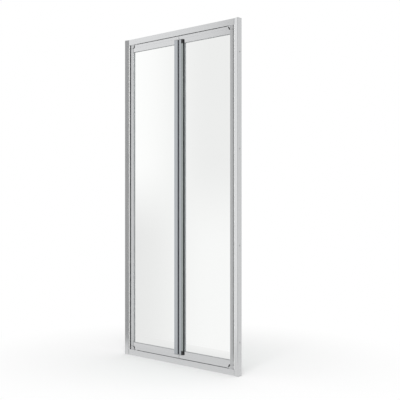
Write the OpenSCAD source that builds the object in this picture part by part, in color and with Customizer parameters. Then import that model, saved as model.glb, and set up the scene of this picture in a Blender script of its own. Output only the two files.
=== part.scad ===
// Framed saloon shower door: two glazed leaves that pivot at the jambs and meet in the middle.
// Millimetres. +Z is up, -Y is the outside of the shower, X runs along the width.
// The origin is under the middle of the sill.

/* [Frame] */
// Width over the two wall channels
frame_w = 860; // [760:5:1000]
// Height from the underside of the sill to the top caps
frame_h = 1850; // [1700:10:2000]
// Thickness of the plastic caps on the wall channels
top_cap_t = 1.6; // [1:0.1:3]

/* [Wall channels] */
// Depth of a wall channel, front to back
channel_d = 33; // [31:0.5:36]
// Width of its flanges, out from the wall
channel_w = 27; // [25:1:29]
// Wall thickness of the channel
channel_t = 1.8; // [1.6:0.1:2.2]
// How far the front flange falls back between the wall and its lip
channel_slant = 5.5; // [4:0.5:6]
// Radius of its outer corners
channel_r = 2.5; // [2.4:0.1:5]
// Diameter of the wall screw holes
wall_hole_d = 5.5; // [4.5:0.5:7]
// Distance between the outer two wall holes
wall_span_outer = 1500; // [1300:10:1600]
// Distance between the inner two wall holes
wall_span_inner = 500; // [300:10:900]

/* [Jambs] */
// Space between channel web and jamb, for out-of-true walls
adjust_gap = 10.2; // [8:0.2:11]
// How far the jamb shows past the channel
jamb_show = 2.5; // [2:0.1:5]
// Wall thickness of the jamb
jamb_t = 1.6; // [1.4:0.1:2]
// Sliding clearance between jamb and channel, on each side
jamb_slip = 0.2; // [0.1:0.05:0.4]
// Thickness of the set-back rib that faces the leaf
rib_t = 2; // [1.6:0.1:3]

/* [Head and sill] */
// Height of the head rail and of the sill rail
rail_h = 32; // [30:1:45]
// Depth of the two rails
rail_d = 24.5; // [24:0.5:26]
// How far they sit behind the front of the channels
rail_recess = 6; // [5.5:0.5:7]
// Wall thickness of the rails
rail_t = 1.6; // [1.4:0.1:2.2]
// Radius of the rails' corners
rail_r = 2; // [1.6:0.2:3]

/* [Leaves] */
// Depth of a leaf frame
leaf_d = 18; // [17:0.5:18.5]
// How far the leaf sits behind the front of the channels
leaf_recess = 12.5; // [12:0.5:13]
// Running gap above and below a leaf
leaf_gap = 3; // [2.5:0.5:4]
// Running gap between a pivot block and the hinge stile above or below it
pivot_gap = 1; // [0.8:0.1:2]
// Running gap between the rib and the hinge stile
hinge_gap = 3; // [2.5:0.5:4]
// Face width of the hinge stile
stile_w = 27; // [26:1:32]
// Face height of the leaf's top and bottom rails
leaf_rail_h = 40; // [38:1:46]
// Wall thickness of the leaf extrusions
leaf_t = 1.6; // [1.4:0.1:1.8]
// Height of the raised outer band on a leaf rail
band_h = 14; // [12:1:20]
// How far that band stands out
band_out = 1.2; // [0.6:0.1:1.5]

/* [Glazing] */
// Thickness of the toughened glass
glass_t = 5; // [4:0.5:6]
// Thickness of a glazing gasket
gasket_t = 1.5; // [1.2:0.1:1.8]
// How deep the glass sits in its groove
glass_bite = 8; // [7:0.5:9]
// Depth of the glazing groove
groove_depth = 10; // [9.5:0.5:11]
// How far a gasket shows past the groove
gasket_lip = 1; // [0.5:0.5:3]

/* [Meeting edge] */
// Clearance on each side of the centre line
centre_gap = 0.5; // [0.4:0.1:1]
// Width of the magnetic seal on the left leaf
seal_w_left = 3.5; // [3:0.5:5]
// Width of the magnetic seal on the right leaf
seal_w_right = 7.5; // [6:0.5:9]
// Depth of a magnetic seal
seal_d = 14; // [10:1:15]
// Face width of the left meeting stile
meeting_w_left = 27; // [25:1:29]
// Width of the right meeting stile, with the seat of its finger pull
meeting_w_right = 31; // [30:1:36]
// Width of the part of it that stands out
proud_w = 14; // [12:0.5:16]
// How far a meeting stile stands out from the leaf
meeting_out = 6; // [5:0.5:8]
// How far a meeting stile stops short of the leaf's ends
meeting_inset = 20; // [16:1:21]
// Width of the flat nose at the edge of the left meeting stile
nose_w = 12; // [8:0.5:14]
// How far its face falls back from the nose to the glass
meeting_fall = 1; // [0.5:0.1:2]

/* [Finger pull] */
// Width of the finger pull on the right leaf
pull_w = 14; // [12:0.5:16]
// Thickness of its walls
pull_t = 2; // [1.6:0.2:2.4]
// Thickness of the dark liner in its groove
liner_t = 0.8; // [0.6:0.1:1]
// Height of its black end caps
pull_cap_h = 23; // [15:1:30]
// Height of the thin foot with which a cap covers the end of the liner
pull_foot_h = 14; // [10:1:20]

/* [Pivots] */
// Width of a pivot block
block_w = 32; // [28:1:34]
// Height of a pivot block
block_h = 20; // [18:1:24]
// Radius of its exposed corner
block_r = 12; // [8:1:16]
// Width of the notch in the leaf that clears a block
notch_w = 42; // [40:1:46]
// Radius of that notch's corner
notch_r = 18; // [14:1:20]
// Diameter of the pivot pin
pin_d = 8; // [6:0.5:9]
// How far the pin stands out of its block
pin_out = 20; // [15:1:25]
// Radial running clearance of the pin
pin_fit = 0.05; // [0.03:0.01:0.08]
// Outer diameter of the thrust washer
washer_d = 14; // [12:0.5:16]

/* [Fixings] */
// Shank diameter of the frame screws, which hold the rails to the jambs
frame_screw_d = 4.2; // [3.5:0.1:4.8]
// Length of a frame screw
frame_screw_l = 28; // [24:1:34]
// Length of the plastic keys inside the ends of head and sill
frame_key_l = 20; // [16:1:23]
// Shank diameter of the small screws
small_screw_d = 3.5; // [3:0.1:4]
// Length of a small screw
small_screw_l = 9; // [8:0.5:10]
// Height of a screw head
screw_head_h = 1.8; // [1.4:0.1:2.2]
// Length of a leaf's corner key inside its rail
corner_key_l = 30; // [24:1:40]
// Distance of the end adjusting screws from the frame's ends
adjust_inset = 150; // [100:10:300]

/* [Hidden] */

$fn = 48;
silver = "silver";
satin = "#B2B5B9";
pull_grey = "#A0A6A5";
dark_seal = "dimgray";
gasket_grey = "#9A9C9E";
black_plastic = "#202224";
grey_plastic = "#D0D1D2";
steel = "lightslategray";
pane = [0.82, 0.9, 0.9, 0.4];

// Reach of a cut past the face that it opens
over = 1;
// Clearance of pieces that slide or press into a hollow
slip = 0.1;
// Clearance of a drilled hole round its screw
drill_gap = 0.2;
// Head diameter of a screw over its shank diameter
head_ratio = 2;
// Shank diameter and length of the screws that hold the pivot blocks
block_screw_d = 4;
block_screw_l = 14;
// Width of the seal strip on a jamb, and its clearance from the turning stile
hinge_seal_w = 4.5;
hinge_seal_gap = 0.8;
// Thickness of a wiper strip, and its clearance from head and sill
wiper_t = 2;
wiper_gap = 0.5;

// Places measured from the outer face of a wall channel towards the middle
half_w = frame_w / 2;
jamb_out = channel_t + adjust_gap;
jamb_in = channel_w + jamb_show;
rib_in = jamb_in + rib_t;
hinge_in = rib_in + hinge_gap + leaf_d / 2;
jamb_h = frame_h - top_cap_t;

// Planes of the frame, front to back
jamb_front = channel_slant + channel_t + jamb_slip - channel_d / 2;
jamb_back = channel_d / 2 - channel_t - jamb_slip;
rail_front = rail_recess - channel_d / 2;
rail_back = rail_front + rail_d;

// Planes of the leaves
leaf_front = leaf_recess - channel_d / 2;
leaf_mid = leaf_front + leaf_d / 2;
leaf_back = leaf_front + leaf_d;
leaf_low = rail_h + leaf_gap;
block_top = rail_h + block_h;
stile_low = block_top + pivot_gap;
notch_top = block_top + leaf_gap;
glass_edge = leaf_low + leaf_rail_h - glass_bite;
groove_w = glass_t + 2 * gasket_t;

// Places along a leaf, from its pivot axis towards the middle
reach = half_w - hinge_in;
stile_in = stile_w - leaf_d / 2;
rail_end = reach - 2 * centre_gap;
block_out = -leaf_d / 2;
block_in = block_out + block_w;
notch_in = block_out + notch_w;
meeting_low = leaf_low + meeting_inset;
meeting_front = leaf_front - meeting_out;
pull_out = reach - centre_gap - seal_w_right - proud_w;
pull_in = pull_out - pull_w;
groove_front = leaf_mid - groove_w / 2;
groove_back = leaf_mid + groove_w / 2;
pull_back = groove_front - pull_t;
chamber_h = leaf_rail_h - groove_depth - 2 * leaf_t;
key_top = leaf_low + leaf_t + chamber_h - slip;
key_low = notch_top + leaf_gap / 2;
key_mid = (key_low + key_top) / 2;
web_x = stile_in - groove_depth - leaf_t;
adjust_x = (jamb_out + channel_w) / 2;
block_screw_x = (pin_d / 2 + block_in) / 2;
stile_screw_x = stile_in - groove_depth / 2;
glass_from = stile_in - glass_bite;
pull_low = meeting_low + pull_cap_h;
liner_low = pull_low + pull_foot_h;

// Placing and extruding

// Each leaf tells its pieces where the two edges of its meeting stile lie
module left_leaf() {
    $meeting_end = reach - centre_gap - seal_w_left;
    $meeting_in = $meeting_end - meeting_w_left;
    translate([-reach, 0, 0]) children();
}

module right_leaf() {
    $meeting_end = reach - centre_gap - seal_w_right;
    $meeting_in = $meeting_end - meeting_w_right;
    mirror([1, 0, 0]) translate([-reach, 0, 0]) children();
}

module left_side() {
    translate([-half_w, 0, 0]) children();
}

module right_side() {
    mirror([1, 0, 0]) left_side() children();
}

module both_sides() {
    left_side() children();
    right_side() children();
}

module top_end() {
    translate([0, 0, frame_h]) mirror([0, 0, 1]) children();
}

module both_ends() {
    children();
    top_end() children();
}

module upright(low, high) {
    translate([0, 0, low]) linear_extrude(high - low) children();
}

module along_x(from, to) {
    translate([from, 0, 0]) rotate([90, 0, 90]) linear_extrude(to - from) children();
}

module along_y(from, to) {
    translate([0, to, 0]) rotate([90, 0, 0]) linear_extrude(to - from) children();
}

module flat(x0, y0, x1, y1) {
    translate([x0, y0]) square([x1 - x0, y1 - y0]);
}

module round_flat(x0, y0, x1, y1, r) {
    flat(x0 + r, y0, x1 - r, y1);
    flat(x0, y0 + r, x1, y1 - r);
    for (x = [x0 + r, x1 - r], y = [y0 + r, y1 - r]) translate([x, y]) circle(r);
}

module rod_x(from, to, d, y, z) {
    translate([from, y, z]) rotate([0, 90, 0]) cylinder(h = to - from, d = d);
}

module rod_y(from, to, d, x, z) {
    translate([x, from, z]) rotate([-90, 0, 0]) cylinder(h = to - from, d = d);
}

// Heights of the screws that fix a jamb in its channel
function adjust_heights() = [adjust_inset, frame_h / 2, frame_h - adjust_inset];

// Heights of the holes in a channel's web
function wall_heights() = [
    for (span = [wall_span_outer, wall_span_inner], side = [-1, 1]) frame_h / 2 + side * span / 2
];

// A screw along y with its head seated at the plane y = seat and its shank towards the front
module back_screw(x, z, seat) {
    rod_y(seat - small_screw_l, seat, small_screw_d, x, z);
    rod_y(seat, seat + screw_head_h, head_ratio * small_screw_d, x, z);
}

// Frame pieces, drawn for the left side with x = 0 at the wall

module wall_channel() {
    difference() {
        upright(0, jamb_h) channel_section();
        for (z = wall_heights()) rod_x(-over, channel_t + over, wall_hole_d, 0, z);
        for (z = adjust_heights())
            rod_y(0, channel_d / 2 + over, small_screw_d + drill_gap, adjust_x, z);
    }
}

// Section of a channel: its web is flat to the wall and its front flange falls back to the lip
module channel_section() {
    difference() {
        channel_outline(0, channel_r);
        channel_outline(channel_t, channel_r - channel_t);
    }
}

// The channel's outline, or the hollow that leaves a wall of that thickness inside it
module channel_outline(wall, r) {
    front = wall - channel_d / 2;
    back = channel_d / 2 - wall;
    hull() {
        for (y = [front + r, back - r]) translate([wall + r, y]) circle(r);
        flat(channel_w - over, front + channel_slant, channel_w + (wall > 0 ? over : 0), back);
    }
}

module adjusting_screws() {
    for (z = adjust_heights()) back_screw(adjust_x, z, channel_d / 2);
}

module jamb() {
    difference() {
        union() {
            upright(0, jamb_h) flat(jamb_out, jamb_front, jamb_in, jamb_back);
            upright(rail_h, frame_h - rail_h) flat(jamb_in, leaf_front, rib_in, leaf_back - slip);
        }
        upright(-over, frame_h)
            flat(jamb_out + jamb_t, jamb_front + jamb_t, jamb_in - jamb_t, jamb_back - jamb_t);
        for (z = adjust_heights()) rod_y(0, channel_d, small_screw_d + drill_gap, adjust_x, z);
        both_ends()
            rod_x(jamb_in - jamb_t - over, jamb_in + over, frame_screw_d + drill_gap, 0, rail_h / 2);
    }
}

module hinge_seal() {
    thick = hinge_gap - hinge_seal_gap;
    upright(rail_h, frame_h - rail_h)
        flat(rib_in, leaf_mid - hinge_seal_w / 2, rib_in + thick, leaf_mid + hinge_seal_w / 2);
}

module top_cap() {
    upright(jamb_h, frame_h) {
        channel_outline(0, channel_r);
        flat(channel_w - over, jamb_front, jamb_in, jamb_back);
    }
}

// One rail across the bottom; the head is the same rail turned over

module frame_rail() {
    half_l = half_w - jamb_in;
    difference() {
        along_x(-half_l, half_l) rail_section();
        for (side = [-1, 1])
            translate([side * (reach - block_screw_x), leaf_mid, rail_h - rail_t - over])
                cylinder(h = rail_t + 2 * over, d = block_screw_d + drill_gap);
    }
}

module rail_section() {
    difference() {
        union() {
            round_flat(rail_front, 0, rail_back, rail_h, rail_r);
            flat(rail_front, 0, rail_back, rail_h / 2);
        }
        flat(rail_front + rail_t, rail_t, rail_back - rail_t, rail_h - rail_t);
    }
}

module frame_key() {
    edge = rail_t + slip;
    difference() {
        along_x(jamb_in, jamb_in + frame_key_l)
            flat(rail_front + edge, edge, rail_back - edge, rail_h - edge);
        rod_x(jamb_in - over, jamb_in + frame_key_l + over, frame_screw_d + drill_gap, 0, rail_h / 2);
    }
}

module frame_screw() {
    seat = jamb_in - jamb_t;
    rod_x(seat - screw_head_h, seat, head_ratio * frame_screw_d, 0, rail_h / 2);
    rod_x(seat, seat + frame_screw_l, frame_screw_d, 0, rail_h / 2);
}

// Pivots, drawn for the bottom of the left leaf with x = 0 on the pivot axis

// A face that stands on the rail and starts at the stile's outer side, with a round inner corner
module corner_face(in, top, r) {
    flat(block_out, rail_h, in - r, top);
    flat(block_out, rail_h, in, top - r);
    intersection() {
        translate([in - r, top - r]) circle(r);
        flat(block_out, rail_h, in, top);
    }
}

module pivot_block() {
    difference() {
        along_y(leaf_front, leaf_back - slip) corner_face(block_in, block_top, block_r);
        translate([0, leaf_mid, rail_h - over]) cylinder(h = block_h + 2 * over, d = pin_d + 2 * pin_fit);
        translate([block_screw_x, leaf_mid, rail_h - over])
            cylinder(h = block_screw_l - rail_t + 2 * over, d = block_screw_d + drill_gap);
    }
}

module pivot_pin() {
    translate([0, leaf_mid, rail_h]) cylinder(h = block_h + pin_out, d = pin_d);
}

module thrust_washer() {
    translate([0, leaf_mid, block_top]) difference() {
        cylinder(h = pivot_gap - slip, d = washer_d);
        translate([0, 0, -over]) cylinder(h = pivot_gap + 2 * over, d = pin_d + 2 * pin_fit);
    }
}

module block_screw() {
    translate([block_screw_x, leaf_mid, rail_h - rail_t - screw_head_h]) {
        cylinder(h = screw_head_h, d = head_ratio * block_screw_d);
        cylinder(h = screw_head_h + block_screw_l, d = block_screw_d);
    }
}

module pivot_bush() {
    deep = pin_out - pivot_gap + over;
    difference() {
        upright(stile_low, stile_low + pin_out + leaf_gap) stile_chamber(slip);
        translate([0, leaf_mid, stile_low - over]) cylinder(h = deep + over, d = pin_d + 2 * pin_fit);
    }
}

// Leaf pieces, drawn for the left leaf with x = 0 on the pivot axis

// Places along a leaf of the screws in its corner keys
function corner_screw_places() = [
    stile_screw_x, stile_in + corner_key_l / 2,
    $meeting_in - corner_key_l / 2, $meeting_in + groove_depth / 2
];

// A drilled hole for a corner screw, from the leaf's back
module back_hole(x) {
    rod_y(leaf_mid - glass_t, leaf_back + over, small_screw_d + drill_gap, x, key_mid);
}

// The hollow of a hinge stile, round about the pivot axis, or its filling with a clearance
module stile_chamber(gap = 0) {
    r = leaf_d / 2 - leaf_t - gap;
    translate([0, leaf_mid]) circle(r);
    flat(0, leaf_mid - r, web_x - gap, leaf_mid + r);
}

module hinge_stile() {
    difference() {
        upright(stile_low, frame_h - stile_low) difference() {
            union() {
                translate([0, leaf_mid]) circle(d = leaf_d);
                flat(0, leaf_front, stile_in, leaf_back);
            }
            stile_chamber();
            flat(stile_in - groove_depth, groove_front, stile_in + over, groove_back);
        }
        both_ends() back_hole(stile_screw_x);
    }
}

// The left meeting stile has a flat nose, from which its face falls back a little to the glass
module meeting_section_left() {
    difference() {
        polygon([
            [$meeting_in, meeting_front + meeting_fall], [$meeting_in, leaf_back],
            [$meeting_end, leaf_back], [$meeting_end, meeting_front], [$meeting_end - nose_w, meeting_front]
        ]);
        glazing_groove();
        flat(
            $meeting_in + leaf_t, meeting_front + meeting_fall + leaf_t,
            $meeting_end - leaf_t, groove_front - leaf_t
        );
        meeting_hollow(meeting_front + meeting_fall + leaf_t);
    }
}

// The right one stands out only at its edge; the seat beside that carries the finger pull
module meeting_section_right() {
    difference() {
        union() {
            flat(pull_out, meeting_front, $meeting_end, leaf_back);
            flat($meeting_in, pull_back, $meeting_end, leaf_back);
        }
        glazing_groove();
        flat(pull_out + leaf_t, meeting_front + leaf_t, $meeting_end - leaf_t, leaf_mid);
        meeting_hollow(pull_back + leaf_t);
    }
}

module glazing_groove() {
    flat($meeting_in - over, groove_front, $meeting_in + groove_depth, groove_back);
}

// The hollow between the groove and the meeting edge
module meeting_hollow(front) {
    flat($meeting_in + groove_depth + leaf_t, front, $meeting_end - leaf_t, leaf_back - leaf_t);
}

module meeting_stile() {
    difference() {
        upright(meeting_low, frame_h - meeting_low) children();
        both_ends() back_hole($meeting_in + groove_depth / 2);
    }
}

module leaf_rail_section() {
    top = leaf_low + leaf_rail_h;
    bead_front = leaf_front + band_out;
    difference() {
        union() {
            flat(leaf_front, leaf_low, leaf_back, leaf_low + band_h);
            flat(bead_front, leaf_low, leaf_back, top);
        }
        flat(bead_front + leaf_t, leaf_low + leaf_t, leaf_back - leaf_t, leaf_low + leaf_t + chamber_h);
        flat(groove_front, top - groove_depth, groove_back, top + over);
    }
}

module leaf_rail() {
    difference() {
        along_x(stile_in, rail_end) leaf_rail_section();
        along_y(leaf_front - over, leaf_back + over) {
            corner_face(notch_in, notch_top, notch_r);
            flat($meeting_in, meeting_low, reach, leaf_low + leaf_rail_h + over);
        }
        back_hole(stile_in + corner_key_l / 2);
        back_hole($meeting_in - corner_key_l / 2);
    }
}

// A corner key lies in its rail's chamber and in the empty end of its stile's groove
module corner_key_face(front, back) {
    flat(front + slip, key_low, back - slip, key_top);
}

module corner_key_bars() {
    front = leaf_front + band_out + leaf_t;
    along_x(stile_in, stile_in + corner_key_l) corner_key_face(front, leaf_back - leaf_t);
    along_x($meeting_in - corner_key_l, $meeting_in) corner_key_face(front, leaf_back - leaf_t);
    along_x(stile_in - groove_depth + slip, stile_in) corner_key_face(groove_front, groove_back);
    along_x($meeting_in, $meeting_in + groove_depth - slip) corner_key_face(groove_front, groove_back);
}

module corner_keys() {
    both_ends() difference() {
        corner_key_bars();
        for (x = corner_screw_places()) back_hole(x);
    }
}

module corner_screws() {
    both_ends() for (x = corner_screw_places()) back_screw(x, key_mid, leaf_back);
}

module glass() {
    upright(glass_edge, frame_h - glass_edge)
        flat(glass_from, leaf_mid - glass_t / 2, $meeting_in + glass_bite, leaf_mid + glass_t / 2);
}

// Four strips before the glass and four behind it
module gaskets() {
    strip_w = glass_bite + gasket_lip;
    glass_to = $meeting_in + glass_bite;
    for (y = [groove_front, groove_back - gasket_t]) {
        upright(glass_edge, frame_h - glass_edge) {
            flat(glass_from, y, glass_from + strip_w, y + gasket_t);
            flat(glass_to - strip_w, y, glass_to, y + gasket_t);
        }
        both_ends() upright(glass_edge, glass_edge + strip_w)
            flat(glass_from + strip_w + slip, y, glass_to - strip_w - slip, y + gasket_t);
    }
}

module magnetic_seal() {
    upright(meeting_low, frame_h - meeting_low)
        flat($meeting_end, leaf_mid - seal_d / 2, reach - centre_gap, leaf_mid + seal_d / 2);
}

module wiper_strips() {
    both_ends() upright(rail_h + wiper_gap, leaf_low)
        flat(notch_in + leaf_gap, leaf_mid - wiper_t / 2, rail_end, leaf_mid + wiper_t / 2);
}

module pull_profile() {
    upright(pull_low, frame_h - pull_low) {
        flat(pull_in, meeting_front, pull_out, meeting_front + pull_t);
        flat(pull_out - pull_t, meeting_front, pull_out, pull_back);
    }
}

module liner_section() {
    flat($meeting_in, pull_back - liner_t, pull_out - pull_t, pull_back);
}

module pull_liner() {
    upright(liner_low, frame_h - liner_low) liner_section();
}

module pull_caps() {
    both_ends() {
        upright(meeting_low, pull_low) flat(pull_in, meeting_front, pull_out, pull_back);
        upright(pull_low - over, liner_low) liner_section();
    }
}

// Nodes

module wall_channel_left() {
    color(silver) left_side() wall_channel();
}

module wall_channel_right() {
    color(silver) right_side() wall_channel();
}

module jamb_left() {
    color(silver) left_side() jamb();
}

module jamb_right() {
    color(silver) right_side() jamb();
}

module head_rail() {
    color(silver) top_end() frame_rail();
}

module sill_rail() {
    color(silver) frame_rail();
}

module top_caps() {
    color(grey_plastic) both_sides() top_cap();
}

module frame_keys() {
    color(black_plastic) both_sides() both_ends() frame_key();
}

module frame_screws() {
    color(steel) both_sides() both_ends() frame_screw();
}

module adjusting_screws_left() {
    color(steel) left_side() adjusting_screws();
}

module adjusting_screws_right() {
    color(steel) right_side() adjusting_screws();
}

module hinge_seal_left() {
    color(dark_seal) left_side() hinge_seal();
}

module hinge_seal_right() {
    color(dark_seal) right_side() hinge_seal();
}

module pivot_block_top_left() {
    color(grey_plastic) left_leaf() top_end() pivot_block();
}

module pivot_block_top_right() {
    color(grey_plastic) right_leaf() top_end() pivot_block();
}

module pivot_block_bottom_left() {
    color(grey_plastic) left_leaf() pivot_block();
}

module pivot_block_bottom_right() {
    color(grey_plastic) right_leaf() pivot_block();
}

module pivot_pins() {
    color(steel) {
        left_leaf() both_ends() pivot_pin();
        right_leaf() both_ends() pivot_pin();
    }
}

module thrust_washers() {
    color(black_plastic) {
        left_leaf() both_ends() thrust_washer();
        right_leaf() both_ends() thrust_washer();
    }
}

module block_screws() {
    color(steel) {
        left_leaf() both_ends() block_screw();
        right_leaf() both_ends() block_screw();
    }
}

module hinge_stile_left() {
    color(silver) left_leaf() hinge_stile();
}

module meeting_stile_left() {
    color(satin) left_leaf() meeting_stile() meeting_section_left();
}

module top_rail_left() {
    color(silver) left_leaf() top_end() leaf_rail();
}

module bottom_rail_left() {
    color(silver) left_leaf() leaf_rail();
}

module glass_left() {
    color(pane) left_leaf() glass();
}

module gaskets_left() {
    color(gasket_grey) left_leaf() gaskets();
}

module magnetic_seal_left() {
    color(dark_seal) left_leaf() magnetic_seal();
}

module wiper_strips_left() {
    color(dark_seal) left_leaf() wiper_strips();
}

module pivot_bushes_left() {
    color(black_plastic) left_leaf() both_ends() pivot_bush();
}

module corner_keys_left() {
    color(black_plastic) left_leaf() corner_keys();
}

module corner_screws_left() {
    color(steel) left_leaf() corner_screws();
}

module hinge_stile_right() {
    color(silver) right_leaf() hinge_stile();
}

module meeting_stile_right() {
    color(satin) right_leaf() meeting_stile() meeting_section_right();
}

module top_rail_right() {
    color(silver) right_leaf() top_end() leaf_rail();
}

module bottom_rail_right() {
    color(silver) right_leaf() leaf_rail();
}

module glass_right() {
    color(pane) right_leaf() glass();
}

module gaskets_right() {
    color(gasket_grey) right_leaf() gaskets();
}

module magnetic_seal_right() {
    color(dark_seal) right_leaf() magnetic_seal();
}

module wiper_strips_right() {
    color(dark_seal) right_leaf() wiper_strips();
}

module pivot_bushes_right() {
    color(black_plastic) right_leaf() both_ends() pivot_bush();
}

module corner_keys_right() {
    color(black_plastic) right_leaf() corner_keys();
}

module corner_screws_right() {
    color(steel) right_leaf() corner_screws();
}

module finger_pull() {
    color(pull_grey) right_leaf() pull_profile();
}

module finger_pull_liner() {
    color(black_plastic) right_leaf() pull_liner();
}

module finger_pull_caps() {
    color(black_plastic) right_leaf() pull_caps();
}

wall_channel_left();
wall_channel_right();
jamb_left();
jamb_right();
head_rail();
sill_rail();
top_caps();
frame_keys();
frame_screws();
adjusting_screws_left();
adjusting_screws_right();
hinge_seal_left();
hinge_seal_right();
pivot_block_top_left();
pivot_block_top_right();
pivot_block_bottom_left();
pivot_block_bottom_right();
pivot_pins();
thrust_washers();
block_screws();
hinge_stile_left();
meeting_stile_left();
top_rail_left();
bottom_rail_left();
glass_left();
gaskets_left();
magnetic_seal_left();
wiper_strips_left();
pivot_bushes_left();
corner_keys_left();
corner_screws_left();
hinge_stile_right();
meeting_stile_right();
top_rail_right();
bottom_rail_right();
glass_right();
gaskets_right();
magnetic_seal_right();
wiper_strips_right();
pivot_bushes_right();
corner_keys_right();
corner_screws_right();
finger_pull();
finger_pull_liner();
finger_pull_caps();
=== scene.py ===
# Saloon shower door: two glazed leaves that swing both ways in an aluminium frame.
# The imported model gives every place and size, in metres: X across, -Y outside, Z up.

import math

import bmesh
import bpy
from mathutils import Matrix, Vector


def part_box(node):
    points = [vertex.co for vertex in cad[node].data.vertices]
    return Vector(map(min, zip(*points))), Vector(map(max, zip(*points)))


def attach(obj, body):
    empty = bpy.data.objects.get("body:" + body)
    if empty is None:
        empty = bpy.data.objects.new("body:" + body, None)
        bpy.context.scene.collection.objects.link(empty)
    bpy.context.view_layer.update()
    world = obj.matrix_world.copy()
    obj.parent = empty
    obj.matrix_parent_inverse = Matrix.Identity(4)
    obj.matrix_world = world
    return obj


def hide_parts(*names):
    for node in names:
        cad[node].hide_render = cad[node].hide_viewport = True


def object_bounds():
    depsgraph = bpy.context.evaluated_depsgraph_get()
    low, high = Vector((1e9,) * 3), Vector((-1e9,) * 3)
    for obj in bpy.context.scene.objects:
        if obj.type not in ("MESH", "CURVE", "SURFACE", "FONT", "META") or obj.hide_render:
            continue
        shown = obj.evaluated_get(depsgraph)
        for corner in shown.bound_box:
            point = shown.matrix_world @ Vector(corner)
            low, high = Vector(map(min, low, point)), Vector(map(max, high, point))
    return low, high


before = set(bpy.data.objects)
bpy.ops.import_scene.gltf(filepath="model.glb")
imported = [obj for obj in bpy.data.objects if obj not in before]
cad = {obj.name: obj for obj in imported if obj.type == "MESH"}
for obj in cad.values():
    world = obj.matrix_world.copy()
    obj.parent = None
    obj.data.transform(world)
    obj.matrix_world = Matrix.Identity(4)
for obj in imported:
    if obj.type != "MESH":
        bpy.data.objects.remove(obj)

cad_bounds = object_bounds()
scene = bpy.context.scene
scene.view_settings.view_transform = "Standard"

# Camera
# It stands at the right of the door, level and a little above mid height, so the uprights stay
# upright and the rails run to a far vanishing point.
camera_place = (2.8655, -3.0055, 0.9136)
camera_turn = 42.06
camera_lens = 67.44
camera_sensor = 36
picture_w_px = 400
horizon_above_centre_px = 0.76

bpy.ops.object.camera_add(location=camera_place,
                          rotation=(math.pi / 2, 0, math.radians(camera_turn)))
camera = bpy.context.object
camera.name = "camera"
camera.data.lens = camera_lens
camera.data.sensor_width = camera_sensor
camera.data.shift_y = -horizon_above_centre_px / picture_w_px
camera.data.clip_start = 0.1
camera.data.clip_end = 60
scene.camera = camera


# Daylight round the studio
# A white cyclorama: what is seen, mirrored or looked at through the panes is white, and the
# light that it sheds is a little lower, so that a colour comes out about as it is written.
def colour(text):
    """The linear colour of an sRGB hex value such as #C8CACC."""
    parts = [int(text[i:i + 2], 16) / 255 for i in (1, 3, 5)]
    linear = [p / 12.92 if p <= 0.04045 else ((p + 0.055) / 1.055) ** 2.4 for p in parts]
    return (*linear, 1)


def add(tree, kind, settings=None, links=None):
    """Adds a shader node, sets its fields and inputs, and links outputs of other nodes to it."""
    made = tree.nodes.new("ShaderNode" + kind)
    for name, value in (settings or {}).items():
        if isinstance(name, int) or name in made.inputs:
            made.inputs[name].default_value = value
        else:
            setattr(made, name, value)
    for name, source in (links or {}).items():
        tree.links.new(source, made.inputs[name])
    return made


def new_tree(owner):
    """Switches nodes on for a material or world and empties its tree."""
    owner.use_nodes = True
    owner.node_tree.nodes.clear()
    return owner.node_tree


sky_light = 0.78
paper_white = colour("#FFFFFF")

world = bpy.data.worlds.new("cyclorama")
scene.world = world
tree = new_tree(world)
path = add(tree, "LightPath")
looked = add(tree, "Math", {"operation": "MAXIMUM"},
             {0: path.outputs["Is Camera Ray"], 1: path.outputs["Is Glossy Ray"]})
shown = add(tree, "Math", {"operation": "MAXIMUM"},
            {0: looked.outputs[0], 1: path.outputs["Is Transmission Ray"]})
shed = add(tree, "Background", {"Color": paper_white, "Strength": sky_light})
seen = add(tree, "Background", {"Color": paper_white, "Strength": 1})
both = add(tree, "MixShader", None, {0: shown.outputs[0], 1: shed.outputs[0], 2: seen.outputs[0]})
add(tree, "OutputWorld", None, {"Surface": both.outputs[0]})


# Key lamp
# One large soft box, high at the front right, which gives the sections their lit edges and the
# floor its soft shadow. It faces the middle of the door and doesn't show in the metal.
lamp_place = (2.2, -3.0, 3.4)
lamp_faces = (0, 0, 0.8)
lamp_w = 2.6
lamp_h = 2.0
lamp_watts = 85

bpy.ops.object.light_add(type="AREA", location=lamp_place)
key = bpy.context.object
key.name = "key_lamp"
key.data.shape = "RECTANGLE"
key.data.size = lamp_w
key.data.size_y = lamp_h
key.data.energy = lamp_watts
beam = Vector(lamp_faces) - Vector(lamp_place)
key.rotation_euler = beam.to_track_quat("-Z", "Y").to_euler()
key.visible_glossy = False


# Floor
# A matt white sweep. It keeps the shadow near the door and fades into the white behind it, so
# that no edge of it shows. The metal mirrors only the strip along the door, as a pale grey.
sweep_size = 16
fade_from = 0.35
fade_to = 1.5
floor_mirrored = 0.82
mirrored_from = 0.2
mirrored_to = 0.6

bpy.ops.mesh.primitive_plane_add(size=sweep_size)
floor = bpy.context.object
floor.name = "floor"
sweep = bpy.data.materials.new("matt_white_sweep")
floor.data.materials.append(sweep)
tree = new_tree(sweep)
place = add(tree, "TexCoord")
away = add(tree, "VectorMath", {"operation": "LENGTH"}, {0: place.outputs["Object"]})
fade = add(tree, "MapRange", {"From Min": fade_from, "From Max": fade_to,
                              "interpolation_type": "SMOOTHSTEP"},
           {"Value": away.outputs["Value"]})
matt = add(tree, "BsdfDiffuse", {"Color": colour("#FBFBFB")})
white = add(tree, "Emission", {"Color": paper_white, "Strength": 1})
path = add(tree, "LightPath")
unlit = add(tree, "Math", {"operation": "MAXIMUM"},
            {0: path.outputs["Is Camera Ray"], 1: path.outputs["Is Transmission Ray"]})
share = add(tree, "Math", {"operation": "MULTIPLY"},
            {0: unlit.outputs[0], 1: fade.outputs["Result"]})
both = add(tree, "MixShader", None, {0: share.outputs[0], 1: matt.outputs[0], 2: white.outputs[0]})
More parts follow.
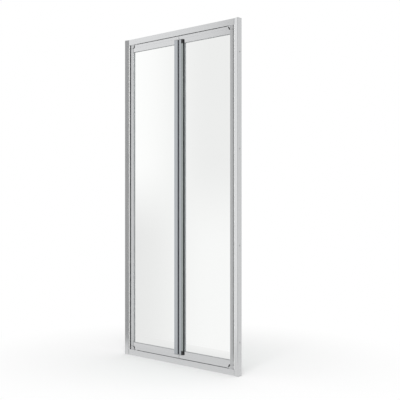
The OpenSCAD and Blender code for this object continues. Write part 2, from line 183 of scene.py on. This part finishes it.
near_grey = add(tree, "Emission", {"Color": paper_white, "Strength": floor_mirrored})
split = add(tree, "SeparateXYZ", None, {0: place.outputs["Object"]})
depth = add(tree, "Math", {"operation": "ABSOLUTE"}, {0: split.outputs["Y"]})
gone = add(tree, "MapRange", {"From Min": mirrored_from, "From Max": mirrored_to,
                              "interpolation_type": "SMOOTHSTEP"}, {"Value": depth.outputs[0]})
clear = add(tree, "BsdfTransparent")
mirrored = add(tree, "MixShader", None,
               {0: gone.outputs["Result"], 1: near_grey.outputs[0], 2: clear.outputs[0]})
shown = add(tree, "MixShader", None,
            {0: path.outputs["Is Glossy Ray"], 1: both.outputs[0], 2: mirrored.outputs[0]})
add(tree, "OutputMaterial", None, {"Surface": shown.outputs[0]})


# Boards
# Grey boards that only metal and glass mirror. A pale one and a dark one stand in front and grey
# the faces that look straight out, the dark one only at the right end, and one stands far behind.
def upright_plane(name, y, left, right, low, high):
    """A plane across the depth y, with its place in its mesh."""
    bpy.ops.object.select_all(action="DESELECT")
    bpy.ops.mesh.primitive_plane_add(size=1, rotation=(math.pi / 2, 0, 0),
                                     location=((left + right) / 2, y, (low + high) / 2))
    made = bpy.context.object
    made.name = name
    made.scale = (right - left, high - low, 1)
    bpy.ops.object.transform_apply(location=True, rotation=True, scale=True)
    return made


def show_only_to(piece, kind):
    """Hides a piece from every kind of ray but one."""
    for ray in ("camera", "diffuse", "glossy", "transmission", "shadow", "volume_scatter"):
        setattr(piece, "visible_" + ray, ray == kind)


board_low = -3.5
board_high = 5.5


def board(name, y, left, right, soft_left, soft_right, grey):
    """A board across the depth y, from left to right, that fades out over its soft ends."""
    made = upright_plane(name, y, left, right, board_low, board_high)
    show_only_to(made, "glossy")
    felt = bpy.data.materials.new(name)
    made.data.materials.append(felt)
    tree = new_tree(felt)
    place = add(tree, "TexCoord")
    split = add(tree, "SeparateXYZ", None, {0: place.outputs["Object"]})
    rise = add(tree, "MapRange", {"From Min": left, "From Max": left + soft_left,
                                  "interpolation_type": "SMOOTHSTEP"},
               {"Value": split.outputs["X"]})
    fall = add(tree, "MapRange", {"From Min": right - soft_right, "From Max": right, "To Min": 1,
                                  "To Max": 0, "interpolation_type": "SMOOTHSTEP"},
               {"Value": split.outputs["X"]})
    cover = add(tree, "Math", {"operation": "MULTIPLY"},
                {0: rise.outputs["Result"], 1: fall.outputs["Result"]})
    clear = add(tree, "BsdfTransparent")
    face = add(tree, "Emission", {"Color": paper_white, "Strength": grey})
    both = add(tree, "MixShader", None,
               {0: cover.outputs[0], 1: clear.outputs[0], 2: face.outputs[0]})
    add(tree, "OutputMaterial", None, {"Surface": both.outputs[0]})


board("pale_board", y=-3.6, left=-4.3, right=7.0, soft_left=1.2, soft_right=0.5, grey=0.91)
board("dark_board", y=-3.5, left=-2.56, right=7.0, soft_left=0.5, soft_right=0.5, grey=0.39)
board("back_board", y=8.0, left=1.0, right=8.0, soft_left=1.0, soft_right=1.0, grey=0.73)


# Backdrop
# A sheet behind the door that glows pale and shows only through the panes. Its glow is painted
# shade: whitest at the upper left and greyest at the lower left, and at the right the other way
# round and weaker.
backdrop_y = 0.45
backdrop_left = -1.2
backdrop_right = 0.1
backdrop_low = -0.5
backdrop_high = 2.4
backdrop_grey = 0.90
painted_shade_swing = 0.10
right_share = -0.5
turn_from = -0.85
turn_to = -0.15
darker_from = 1.2
darker_to = 0.6

backdrop = upright_plane("backdrop", backdrop_y, backdrop_left, backdrop_right,
                         backdrop_low, backdrop_high)
show_only_to(backdrop, "transmission")
painted_shade_backdrop = bpy.data.materials.new("painted_shade_backdrop")
backdrop.data.materials.append(painted_shade_backdrop)
tree = new_tree(painted_shade_backdrop)
place = add(tree, "TexCoord")
split = add(tree, "SeparateXYZ", None, {0: place.outputs["Object"]})
across = add(tree, "MapRange", {"From Min": turn_from, "From Max": turn_to, "To Min": 1,
                                "To Max": right_share, "interpolation_type": "SMOOTHSTEP"},
             {"Value": split.outputs["X"]})
up = add(tree, "MapRange", {"From Min": darker_to, "From Max": darker_from, "To Min": -1,
                            "To Max": 1, "interpolation_type": "SMOOTHSTEP"},
         {"Value": split.outputs["Z"]})
turned = add(tree, "Math", {"operation": "MULTIPLY"},
             {0: across.outputs["Result"], 1: up.outputs["Result"]})
# Painted shade: the glow swings round its mean grey across and up the sheet.
grey = add(tree, "Math", {"operation": "MULTIPLY_ADD", 1: painted_shade_swing, 2: backdrop_grey},
           {0: turned.outputs[0]})
backdrop_glow = add(tree, "Emission", {"Color": paper_white}, {"Strength": grey.outputs[0]})
add(tree, "OutputMaterial", None, {"Surface": backdrop_glow.outputs[0]})


# Bright extrusions
# Wall channels, jambs, head, sill and the rails of the leaves: aluminium drawn through a die,
# brightened and anodised clear. The die leaves faint lines along each length, and the
# film softens what the metal mirrors.
def round_arrises(piece, width):
    """Takes the sharpness off a CAD node's edges, with its own mesh left as it is."""
    weld = piece.modifiers.new("weld", "WELD")
    weld.merge_threshold = 0.00001
    flat = piece.modifiers.new("flat", "DECIMATE")
    flat.decimate_type = "DISSOLVE"
    flat.angle_limit = math.radians(0.5)
    bevel = piece.modifiers.new("arris", "BEVEL")
    bevel.width = width
    bevel.segments = 2
    bevel.limit_method = "ANGLE"
    bevel.angle_limit = math.radians(35)
    even = piece.modifiers.new("even", "WEIGHTED_NORMAL")
    even.mode = "FACE_AREA"
    even.weight = 100


def alone(piece):
    """Makes a piece the only one that is selected, and the active one."""
    bpy.ops.object.select_all(action="DESELECT")
    piece.select_set(True)
    bpy.context.view_layer.objects.active = piece


def smooth(piece):
    """Shades a piece smooth, with its real edges kept."""
    alone(piece)
    bpy.ops.object.shade_smooth_by_angle(angle=math.radians(30))
    piece.select_set(False)


def dress(names, material, arris=0.0):
    """Gives CAD nodes a material and, where arris is over zero, rounded edges."""
    for name in names:
        piece = cad[name]
        piece.data.materials.clear()
        piece.data.materials.append(material)
        smooth(piece)
        if arris:
            round_arrises(piece, arris)


die_line_w = 0.0016
die_line_l = 0.5
line_depth = 0.0002
line_shade = 0.94
line_gloss = 0.04
noise_low = 0.3
noise_high = 0.7


def anodised(name, shade, along, roughness):
    """Anodised aluminium with its die lines along one axis, given as X or Z.

    Real die lines are finer than a tenth of a millimetre. They are drawn wider, so that they show.
    """
    finish = bpy.data.materials.new(name)
    tree = new_tree(finish)
    place = add(tree, "TexCoord")
    across, down = 1 / die_line_w, 1 / die_line_l
    stretch = (down, across, across) if along == "X" else (across, across, down)
    drawn = add(tree, "Mapping", {"Scale": stretch}, {"Vector": place.outputs["Object"]})
    lines = add(tree, "TexNoise", {"Scale": 1, "Detail": 2, "Roughness": 0.5},
                {"Vector": drawn.outputs[0]})
    tint = add(tree, "MapRange", {"From Min": noise_low, "From Max": noise_high,
                                  "To Min": line_shade, "To Max": 1},
               {"Value": lines.outputs["Fac"]})
    film = add(tree, "Mix", {"data_type": "RGBA", "blend_type": "MULTIPLY", 0: 1.0,
                             6: colour(shade)}, {7: tint.outputs["Result"]})
    rough = add(tree, "MapRange", {"From Min": noise_low, "From Max": noise_high,
                                   "To Min": roughness - line_gloss,
                                   "To Max": roughness + line_gloss},
                {"Value": lines.outputs["Fac"]})
    relief = add(tree, "Bump", {"Strength": 0.12, "Distance": line_depth},
                 {"Height": lines.outputs["Fac"]})
    metal = add(tree, "BsdfPrincipled", {"Metallic": 1.0},
                {"Base Color": film.outputs[2], "Roughness": rough.outputs["Result"],
                 "Normal": relief.outputs[0]})
    add(tree, "OutputMaterial", None, {"Surface": metal.outputs[0]})
    return finish


bright_upright = anodised("bright_anodised_upright", "#DEDFE0", along="Z", roughness=0.2)
bright_across = anodised("bright_anodised_across", "#DEDFE0", along="X", roughness=0.2)
frame_arris = 0.0004
leaf_rail_arris = 0.0006

dress(["wall_channel_left", "wall_channel_right", "jamb_left", "jamb_right"],
      bright_upright, arris=frame_arris)
dress(["head_rail", "sill_rail"], bright_across, arris=frame_arris)
dress(["top_rail_left", "top_rail_right", "bottom_rail_left", "bottom_rail_right"],
      bright_across, arris=leaf_rail_arris)


# Hinge stiles
# The outer uprights of the leaves, drawn in the same alloy. They are a darker copy of the bright
# anodising, with painted shade, so they look a little duller than the rest.
dull_shaded_upright = anodised("dull_shaded_anodised_upright", "#CBCCCD", along="Z", roughness=0.22)

dress(["hinge_stile_left", "hinge_stile_right"], dull_shaded_upright, arris=0.0004)


# Meeting stiles
# The two uprights that meet in the middle, etched before they are anodised, so they mirror less
# and look a little cooler. Their tone, darker than the bright lengths, is painted shade.
satin_shaded_upright = anodised("satin_shaded_anodised_upright", "#B9BDC1", along="Z", roughness=0.28)

dress(["meeting_stile_left", "meeting_stile_right"], satin_shaded_upright, arris=0.0003)


# Finger pull
# A lip of the same aluminium, pressed on beside the meeting edge of the right leaf. It is etched
# longest, so it mirrors least, and it is a trace green; its tone, the darkest of the lengths, is
# painted shade.
pull_satin_shaded = anodised("pull_shaded_satin_anodised", "#A8AEAD", along="Z", roughness=0.3)

dress(["finger_pull"], pull_satin_shaded, arris=0.0003)


# Panes
# Toughened float glass, 5 mm, with ground edges hidden in the grooves. It is clear with a trace
# of green, and light from the lamps passes it. The furnace's rollers leave a faint long wave.
roller_wave_l = 0.285

toughened = bpy.data.materials.new("toughened_float_glass")
tree = new_tree(toughened)
place = add(tree, "TexCoord")
wave = add(tree, "TexNoise", {"Scale": 1 / roller_wave_l, "Detail": 1},
           {"Vector": place.outputs["Object"]})
roller_wave = add(tree, "Bump", {"Strength": 0.04, "Distance": 0.001},
                  {"Height": wave.outputs["Fac"]})
glass = add(tree, "BsdfPrincipled", {"Base Color": colour("#FDFEFD"), "Roughness": 0.0,
                                     "IOR": 1.5, "Transmission Weight": 1.0},
            {"Normal": roller_wave.outputs[0]})
through = add(tree, "BsdfTransparent", {"Color": colour("#F2F6F4")})
path = add(tree, "LightPath")
lamp_ray = add(tree, "Math", {"operation": "MAXIMUM"},
               {0: path.outputs["Is Shadow Ray"], 1: path.outputs["Is Diffuse Ray"]})
both = add(tree, "MixShader", None,
           {0: lamp_ray.outputs[0], 1: glass.outputs[0], 2: through.outputs[0]})
add(tree, "OutputMaterial", None, {"Surface": both.outputs[0]})

dress(["glass_left", "glass_right"], toughened, arris=0.0006)


# Glazing gaskets
# Soft PVC frames in mid grey, one before and one behind each pane, wedged between glass and
# groove. Each shows a rounded bead past the groove.
def extruded_pvc(name, low, high):
    """PVC of two near shades, with the dull, faintly mottled skin that the die leaves.

    The mottle is drawn coarser than the real one, so that it shows.
    """
    mottle = 0.0024
    finish = bpy.data.materials.new(name)
    tree = new_tree(finish)
    place = add(tree, "TexCoord")
    grain = add(tree, "TexNoise", {"Scale": 1 / mottle, "Detail": 3},
                {"Vector": place.outputs["Object"]})
    tint = add(tree, "Mix", {"data_type": "RGBA", 6: colour(low), 7: colour(high)},
               {0: grain.outputs["Fac"]})
    relief = add(tree, "Bump", {"Strength": 0.15, "Distance": 0.0002},
                 {"Height": grain.outputs["Fac"]})
    pvc = add(tree, "BsdfPrincipled", {"Roughness": 0.55, "IOR": 1.53},
              {"Base Color": tint.outputs[2], "Normal": relief.outputs[0]})
    add(tree, "OutputMaterial", None, {"Surface": pvc.outputs[0]})
    return finish


def choose_faces(piece, wanted):
    """Selects, in edit mode, the faces of which wanted(middle, normal) is true."""
    bpy.ops.mesh.select_mode(type="FACE")
    bpy.ops.mesh.select_all(action="DESELECT")
    shape = bmesh.from_edit_mesh(piece.data)
    for face in shape.faces:
        if wanted(face.calc_center_median(), face.normal):
            face.select_set(True)
    bmesh.update_edit_mesh(piece.data)


def choose_edges(piece, wanted):
    """Selects, in edit mode, the edges of which wanted(middle, direction) is true."""
    bpy.ops.mesh.select_mode(type="EDGE")
    bpy.ops.mesh.select_all(action="DESELECT")
    shape = bmesh.from_edit_mesh(piece.data)
    for edge in shape.edges:
        start, end = [vert.co for vert in edge.verts]
        if wanted((start + end) / 2, (end - start).normalized()):
            edge.select_set(True)
    bmesh.update_edit_mesh(piece.data)


def near(a, b):
    """Whether two places are the same, to a fiftieth of a millimetre."""
    return abs(a - b) < 0.00002


def push(move):
    """Extrudes the selected faces by a move in metres."""
    bpy.ops.mesh.extrude_region_move(TRANSFORM_OT_translate={"value": move})


def twin(piece, name, mirror=(1, 1, 1), middle=(0, 0, 0), move=(0, 0, 0)):
    """A copy with its own mesh, mirrored in the planes through middle or moved, or both."""
    alone(piece)
    bpy.ops.object.duplicate(linked=False)
    made = bpy.context.object
    made.name = name
    bpy.ops.object.mode_set(mode="EDIT")
    bpy.ops.mesh.select_all(action="SELECT")
    bpy.ops.transform.resize(value=mirror, center_override=middle)
    bpy.ops.transform.translate(value=move)
    bpy.ops.mesh.normals_make_consistent(inside=False)
    bpy.ops.object.mode_set(mode="OBJECT")
    return made


def finish_piece(piece, material, body, stands_for=None):
    """Gives a modelled piece its shading, material and body, and hides what it stands for."""
    if bpy.context.mode != "OBJECT":
        bpy.ops.object.mode_set(mode="OBJECT")
    piece.data.materials.clear()
    piece.data.materials.append(material)
    smooth(piece)
    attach(piece, body)
    if stands_for:
        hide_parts(stands_for)


gasket_t = 0.0015
in_groove = 0.008
bead_w = 0.0012
bead_out = 0.0006
bead_round = 0.0005
gasket_pvc = extruded_pvc("soft_pvc_mid_grey", "#A0A2A4", "#AEB0B2")

for side in ("left", "right"):
    low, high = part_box("gaskets_" + side)
    ring = upright_plane("gasket_front_" + side, low.y, low.x, high.x, low.z, high.z)
    bpy.ops.object.mode_set(mode="EDIT")
    bpy.ops.mesh.select_all(action="SELECT")
    bpy.ops.mesh.inset(thickness=in_groove)
    bpy.ops.mesh.inset(thickness=bead_w)
    bpy.ops.mesh.delete(type="FACE")
    bpy.ops.mesh.select_all(action="SELECT")
    push((0, gasket_t, 0))
    bpy.ops.mesh.select_all(action="SELECT")
    bpy.ops.mesh.normals_make_consistent(inside=False)
    centre = (low + high) / 2
    shown_x = (high.x - low.x) / 2 - in_groove
    shown_z = (high.z - low.z) / 2 - in_groove
    choose_faces(ring, lambda middle, normal: normal.y < -0.5
                 and abs(middle.x - centre.x) < shown_x and abs(middle.z - centre.z) < shown_z)
    push((0, -bead_out, 0))
    choose_edges(ring, lambda middle, line: near(middle.y, low.y - bead_out))
    bpy.ops.mesh.bevel(offset=bead_round, segments=3, affect="EDGES")
    finish_piece(ring, gasket_pvc, "leaf_" + side, "gaskets_" + side)
    back = twin(ring, "gasket_back_" + side, mirror=(1, -1, 1), middle=centre)
    finish_piece(back, gasket_pvc, "leaf_" + side, "gaskets_" + side)


# Seals at the moving edges
# Dark grey PVC pressed into the extrusions: a magnetic seal with a rounded nose on each meeting
# stile, a tapered wiper above and below each leaf, and a fin beside each hinge stile.
def block(name, low, high):
    """A block between two corners, with its place in its mesh, left in edit mode."""
    bpy.ops.object.select_all(action="DESELECT")
    bpy.ops.mesh.primitive_cube_add(size=1, location=[(a + b) / 2 for a, b in zip(low, high)])
    made = bpy.context.object
    made.name = name
    made.scale = [b - a for a, b in zip(low, high)]
    bpy.ops.object.transform_apply(location=True, rotation=True, scale=True)
    bpy.ops.object.mode_set(mode="EDIT")
    return made


mid_height = (cad_bounds[0].z + cad_bounds[1].z) / 2
seal_pvc = extruded_pvc("soft_pvc_dark_grey", "#5C5E62", "#686A6E")
nose_round = 0.0016
magnet_line = 0.0035
magnet_sunk = 0.0004
blade_tip = 0.35
blade_round = 0.0002
fin_round = 0.0009

for side, inwards in (("left", 1), ("right", -1)):
    low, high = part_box("magnetic_seal_" + side)
    tip = high.x if inwards > 0 else low.x
    seal = block("magnet_seal_" + side, low, high)
    choose_edges(seal, lambda middle, line: abs(line.z) > 0.9 and near(middle.x, tip))
    bpy.ops.mesh.bevel(offset=nose_round, segments=4, affect="EDGES")
    choose_faces(seal, lambda middle, normal: normal.x * inwards > 0.99)
    bpy.ops.mesh.inset(thickness=magnet_line)
    push((-inwards * magnet_sunk, 0, 0))
    finish_piece(seal, seal_pvc, "leaf_" + side, "magnetic_seal_" + side)

    low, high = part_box("wiper_strips_" + side)
    rail_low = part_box("bottom_rail_" + side)[0].z
    blade = block("wiper_low_" + side, low, (high.x, high.y, rail_low))
    choose_faces(blade, lambda middle, normal: normal.z < -0.9)
    bpy.ops.transform.resize(value=(1, blade_tip, 1), center_override=(low + high) / 2)
    choose_edges(blade, lambda middle, line: abs(line.x) > 0.9 and near(middle.z, low.z))
    bpy.ops.mesh.bevel(offset=blade_round, segments=3, affect="EDGES")
    finish_piece(blade, seal_pvc, "leaf_" + side, "wiper_strips_" + side)
    upper = twin(blade, "wiper_high_" + side, mirror=(1, 1, -1), middle=(0, 0, mid_height))
    finish_piece(upper, seal_pvc, "leaf_" + side, "wiper_strips_" + side)

    low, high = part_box("hinge_seal_" + side)
    tip = high.x if inwards > 0 else low.x
    fin = block("hinge_fin_" + side, low, high)
    choose_edges(fin, lambda middle, line: abs(line.z) > 0.9 and near(middle.x, tip))
    bpy.ops.mesh.bevel(offset=fin_round, segments=3, affect="EDGES")
    finish_piece(fin, seal_pvc, "frame", "hinge_seal_" + side)


# Pivot blocks and channel caps
# Injection moulded in grey nylon and lacquered silver, so that they match the aluminium. A block
# stands at each corner and holds a pin; its outer side is as round as the stile, its free corner
# is round and its face a little sunk inside a rim.

# Flakes of a tenth of this size give the lacquer its shimmer. They are drawn larger, to show.
flake_size = 0.0012

silver_lacquer = bpy.data.materials.new("silver_lacquer_on_nylon")
tree = new_tree(silver_lacquer)
place = add(tree, "TexCoord")
flakes = add(tree, "TexNoise", {"Scale": 1 / flake_size, "Detail": 2},
             {"Vector": place.outputs["Object"]})
tint = add(tree, "Mix", {"data_type": "RGBA", 6: colour("#C6C7C8"), 7: colour("#D2D3D4")},
           {0: flakes.outputs["Fac"]})
relief = add(tree, "Bump", {"Strength": 0.1, "Distance": 0.0001}, {"Height": flakes.outputs["Fac"]})
lacquer = add(tree, "BsdfPrincipled", {"Metallic": 1.0, "Roughness": 0.3},
              {"Base Color": tint.outputs[2], "Normal": relief.outputs[0]})
add(tree, "OutputMaterial", None, {"Surface": lacquer.outputs[0]})

block_round = 0.012
outer_round = 0.0085
block_rim = 0.0014
block_sunk = 0.0004
block_edge = 0.0007
inside_arc = 0.0003

low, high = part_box("pivot_block_bottom_left")
corner = block("pivot_block_low_left", low, high)
choose_edges(corner, lambda middle, line: abs(line.z) > 0.9 and near(middle.x, low.x))
bpy.ops.mesh.bevel(offset=outer_round, segments=8, affect="EDGES")
choose_edges(corner, lambda middle, line: abs(line.y) > 0.9 and near(middle.x, high.x)
             and near(middle.z, high.z))
bpy.ops.mesh.bevel(offset=block_round, segments=14, affect="EDGES")
choose_faces(corner, lambda middle, normal: abs(normal.y) > 0.999)
bpy.ops.mesh.inset(thickness=block_rim)
bpy.ops.mesh.inset(thickness=block_sunk, depth=-block_sunk)


def round_the_face(middle, line):
    """Whether an edge of the front or back lies on the free end, the top or the round corner."""
    if abs(line.y) >= 0.1 or not (near(middle.y, low.y) or near(middle.y, high.y)):
        return False
    past_centre = Vector((middle.x - high.x + block_round, middle.z - high.z + block_round))
    on_arc = min(past_centre) > 0 and past_centre.length > block_round - inside_arc
    on_top = near(middle.z, high.z) and middle.x > low.x + outer_round
    return near(middle.x, high.x) or on_top or on_arc


choose_edges(corner, round_the_face)
bpy.ops.mesh.bevel(offset=block_edge, segments=3, affect="EDGES")
bpy.ops.mesh.select_all(action="SELECT")
bpy.ops.mesh.remove_doubles(threshold=0.00001)
bpy.ops.object.mode_set(mode="OBJECT")
blocks = {
    "pivot_block_bottom_left": corner,
    "pivot_block_bottom_right": twin(corner, "pivot_block_low_right", mirror=(-1, 1, 1)),
    "pivot_block_top_left": twin(corner, "pivot_block_high_left", mirror=(1, 1, -1),
                                 middle=(0, 0, mid_height)),
    "pivot_block_top_right": twin(corner, "pivot_block_high_right", mirror=(-1, 1, -1),
                                  middle=(0, 0, mid_height)),
}
for node, piece in blocks.items():
    finish_piece(piece, silver_lacquer, "frame", node)

dress(["top_caps"], silver_lacquer, arris=0.0005)


# Cover strips
# White PVC trims clipped round the inner front corner of each jamb. Their white is a painted
# highlight: it makes the bright line between the wall channel and the leaf, where the jamb's side
# catches the light.
highlight_pvc = extruded_pvc("rigid_pvc_white_painted_highlight", "#F4F4F3", "#FAFAF9")
jamb_face_w = 0.0175
highlight_strip_t = 0.0008
highlight_strip_round = 0.0003
highlight_strip_foot = 0.0001
highlight_strip_lap = 0.0011

frame_top = cad_bounds[1].z
rail_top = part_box("sill_rail")[1].z
jamb_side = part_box("jamb_left")[0].x + jamb_face_w
jamb_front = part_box("jamb_left")[0].y
rib_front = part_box("hinge_stile_left")[0].y
cover = block("highlight_strip_left", (jamb_side - highlight_strip_foot, jamb_front, rail_top),
              (jamb_side + highlight_strip_t, rib_front - highlight_strip_round, frame_top - rail_top))
choose_faces(cover, lambda middle, normal: normal.y < -0.9)
push((0, -highlight_strip_t, 0))
choose_faces(cover, lambda middle, normal: normal.x < -0.9 and middle.y < jamb_front)
push((-highlight_strip_lap, 0, 0))
choose_edges(cover, lambda middle, line: abs(line.z) > 0.9 and middle.x > jamb_side)
bpy.ops.mesh.bevel(offset=highlight_strip_round, segments=3, affect="EDGES")
finish_piece(cover, highlight_pvc, "frame")
other_highlight_strip = twin(cover, "highlight_strip_right", mirror=(-1, 1, 1))
finish_piece(other_highlight_strip, highlight_pvc, "frame")


# Liner of the finger pull
# A strip of dark PVC in the groove, slid in from one end. Its inner edge turns down over the lip
# of the glazing groove as far as the gasket's bead.
liner_pvc = extruded_pvc("rigid_pvc_charcoal", "#2C2F31", "#363A3B")
leg_t = 0.0006
leg_round = 0.0002

low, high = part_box("finger_pull_liner")
bead_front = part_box("gaskets_right")[0].y - bead_out
liner = block("pull_liner", low, high)
choose_faces(liner, lambda middle, normal: normal.x > 0.9)
push((leg_t, 0, 0))
choose_faces(liner, lambda middle, normal: normal.y > 0.9 and middle.x > high.x)
push((0, bead_front - high.y, 0))
choose_edges(liner, lambda middle, line: abs(line.z) > 0.9 and near(middle.x, high.x + leg_t))
bpy.ops.mesh.bevel(offset=leg_round, segments=2, affect="EDGES")
finish_piece(liner, liner_pvc, "leaf_right", "finger_pull_liner")


# Black mouldings
# The end caps of the finger pull and the hidden keys, bushes and washers, injection moulded in
# black nylon. The mould is spark eroded, which leaves a fine dull grit, drawn coarser to show.
grit = 0.0012

black_nylon = bpy.data.materials.new("black_nylon")
tree = new_tree(black_nylon)
place = add(tree, "TexCoord")
grain = add(tree, "TexNoise", {"Scale": 1 / grit, "Detail": 2}, {"Vector": place.outputs["Object"]})
tint = add(tree, "Mix", {"data_type": "RGBA", 6: colour("#121315"), 7: colour("#1B1C1E")},
           {0: grain.outputs["Fac"]})
relief = add(tree, "Bump", {"Strength": 0.2, "Distance": 0.0002}, {"Height": grain.outputs["Fac"]})
nylon = add(tree, "BsdfPrincipled", {"Roughness": 0.4, "IOR": 1.5},
            {"Base Color": tint.outputs[2], "Normal": relief.outputs[0]})
add(tree, "OutputMaterial", None, {"Surface": nylon.outputs[0]})

dress(["finger_pull_caps"], black_nylon, arris=0.0008)
dress(["frame_keys", "thrust_washers", "pivot_bushes_left", "pivot_bushes_right",
       "corner_keys_left", "corner_keys_right"], black_nylon)


# End plugs
# Plates of the same black nylon, pressed into the hollow ends of the meeting stiles until their
# flange lies on the aluminium. Each has the outline of its stile.
plug_t = 0.0015
plug_round = 0.0005
left_fall = 0.001
proud_w = 0.014
proud_d = 0.009


def finish_plugs(plug, side):
    """Rounds a plug's free edges, finishes it and adds its twin at the upper end."""
    choose_faces(plug, lambda middle, normal: normal.z < -0.9)
    bpy.ops.mesh.region_to_loop()
    bpy.ops.mesh.bevel(offset=plug_round, segments=2, affect="EDGES")
    finish_piece(plug, black_nylon, "leaf_" + side)
    upper = twin(plug, "end_plug_high_" + side, mirror=(1, 1, -1), middle=(0, 0, mid_height))
    finish_piece(upper, black_nylon, "leaf_" + side)


low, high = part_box("meeting_stile_left")
plug = block("end_plug_low_left", (low.x, low.y, low.z - plug_t), (high.x, high.y, low.z))
choose_edges(plug, lambda middle, line: abs(line.z) > 0.9 and near(middle.x, low.x)
             and near(middle.y, low.y))
bpy.ops.transform.translate(value=(0, left_fall, 0))
finish_plugs(plug, "left")

low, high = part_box("meeting_stile_right")
plug = block("end_plug_low_right", (low.x, low.y + proud_d, low.z - plug_t),
             (high.x, high.y, low.z))
bpy.ops.mesh.select_all(action="SELECT")
bpy.ops.mesh.bisect(plane_co=(low.x + proud_w, 0, 0), plane_no=(1, 0, 0))
choose_faces(plug, lambda middle, normal: normal.y < -0.9 and middle.x < low.x + proud_w)
push((0, -proud_d, 0))
finish_plugs(plug, "right")


# Screws and pins
# Stainless steel, headed cold and turned, which leaves it softly bright. Its grain is drawn
# coarser than it is, to show. The screws on show are pan heads, driven from the back.
steel_grain = 0.0011

stainless = bpy.data.materials.new("stainless_steel")
tree = new_tree(stainless)
place = add(tree, "TexCoord")
grain = add(tree, "TexNoise", {"Scale": 1 / steel_grain, "Detail": 2},
            {"Vector": place.outputs["Object"]})
rough = add(tree, "MapRange", {"To Min": 0.22, "To Max": 0.36}, {"Value": grain.outputs["Fac"]})
steel = add(tree, "BsdfPrincipled", {"Base Color": colour("#C4C5C6"), "Metallic": 1.0},
            {"Roughness": rough.outputs["Result"]})
add(tree, "OutputMaterial", None, {"Surface": steel.outputs[0]})

dress(["frame_screws", "pivot_pins", "block_screws"], stainless)

head_r = 0.0035
head_h = 0.0018
head_crown = 0.62 * head_h
shank_r = 0.00175
shank_l = 0.009
point_l = 0.0015
point_taper = 0.2
recess_w = 0.0008
recess_l = 0.0038
recess_h = 0.0011


def pan_head_screw():
    """One screw with its seat at the origin, its head towards +Y and its point towards -Y."""
    bpy.ops.object.select_all(action="DESELECT")
    bpy.ops.mesh.primitive_cylinder_add(vertices=32, radius=head_r, depth=head_h,
                                        location=(0, head_h / 2, 0), rotation=(math.pi / 2, 0, 0))
    screw = bpy.context.object
    bpy.ops.object.transform_apply(location=True, rotation=True, scale=True)
    bpy.ops.object.mode_set(mode="EDIT")
    choose_edges(screw, lambda middle, line: near(middle.y, head_h) and abs(line.y) < 0.1)
    bpy.ops.mesh.bevel(offset=head_crown, segments=5, affect="EDGES")
    choose_faces(screw, lambda middle, normal: normal.y < -0.9)
    bpy.ops.mesh.inset(thickness=head_r - shank_r)
    push((0, point_l - shank_l, 0))
    push((0, -point_l, 0))
    bpy.ops.transform.resize(value=(point_taper, 1, point_taper), center_override=(0, 0, 0))
    bpy.ops.object.mode_set(mode="OBJECT")
    floor_y = head_h - recess_h
    top_y = head_h * 2
    cross = block("recess", (-recess_l / 2, floor_y, -recess_w / 2),
                  (recess_l / 2, top_y, recess_w / 2))
    bpy.ops.mesh.primitive_cube_add(size=1, location=(0, 0, 0))
    bpy.ops.transform.resize(value=(recess_w, top_y - floor_y, recess_l),
                             center_override=(0, 0, 0))
    bpy.ops.transform.translate(value=(0, (floor_y + top_y) / 2, 0))
    bpy.ops.object.mode_set(mode="OBJECT")
    cut = screw.modifiers.new("recess", "BOOLEAN")
    cut.operation = "DIFFERENCE"
    cut.solver = "EXACT"
    cut.use_self = True
    cut.object = cross
    alone(screw)
    bpy.ops.object.modifier_apply(modifier="recess")
    bpy.data.objects.remove(cross)
    return screw


model_screw = pan_head_screw()

# Adjusting screws
# Three in the back of each wall channel: one near either end and one halfway. They hold the jamb
# once the frame stands plumb.
adjust_inset = 0.150
adjust_heights = [adjust_inset, frame_top / 2, frame_top - adjust_inset]
channel_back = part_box("wall_channel_left")[1].y
adjust_low, adjust_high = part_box("adjusting_screws_left")
adjust_x = (adjust_low.x + adjust_high.x) / 2

for side, across in (("left", 1), ("right", -1)):
    for number, height in enumerate(adjust_heights, 1):
        screw = twin(model_screw, f"adjusting_screw_{side}_{number}",
                     move=(across * adjust_x, channel_back, height))
        finish_piece(screw, stainless, "frame", "adjusting_screws_" + side)

# Corner screws
# Eight in the back of each leaf: at every corner one goes through the stile and one through the
# rail, into the key that joins the two.
stile_screw_in = 0.005
rail_screw_out = 0.015
leaf_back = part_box("hinge_stile_left")[1].y

for side, across in (("left", 1), ("right", -1)):
    low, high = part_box("corner_screws_" + side)
    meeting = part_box("meeting_stile_" + side)
    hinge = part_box("hinge_stile_" + side)
    hinge_in = hinge[1].x if across > 0 else hinge[0].x
    meeting_in = meeting[0].x if across > 0 else meeting[1].x
    places = [hinge_in - across * stile_screw_in, hinge_in + across * rail_screw_out,
              meeting_in - across * rail_screw_out, meeting_in + across * stile_screw_in]
    for end, height in (("low", low.z + head_r), ("high", high.z - head_r)):
        for number, x in enumerate(places, 1):
            screw = twin(model_screw, f"corner_screw_{side}_{end}_{number}",
                         move=(x, leaf_back, height))
            finish_piece(screw, stainless, "leaf_" + side, "corner_screws_" + side)
bpy.data.objects.remove(model_screw)
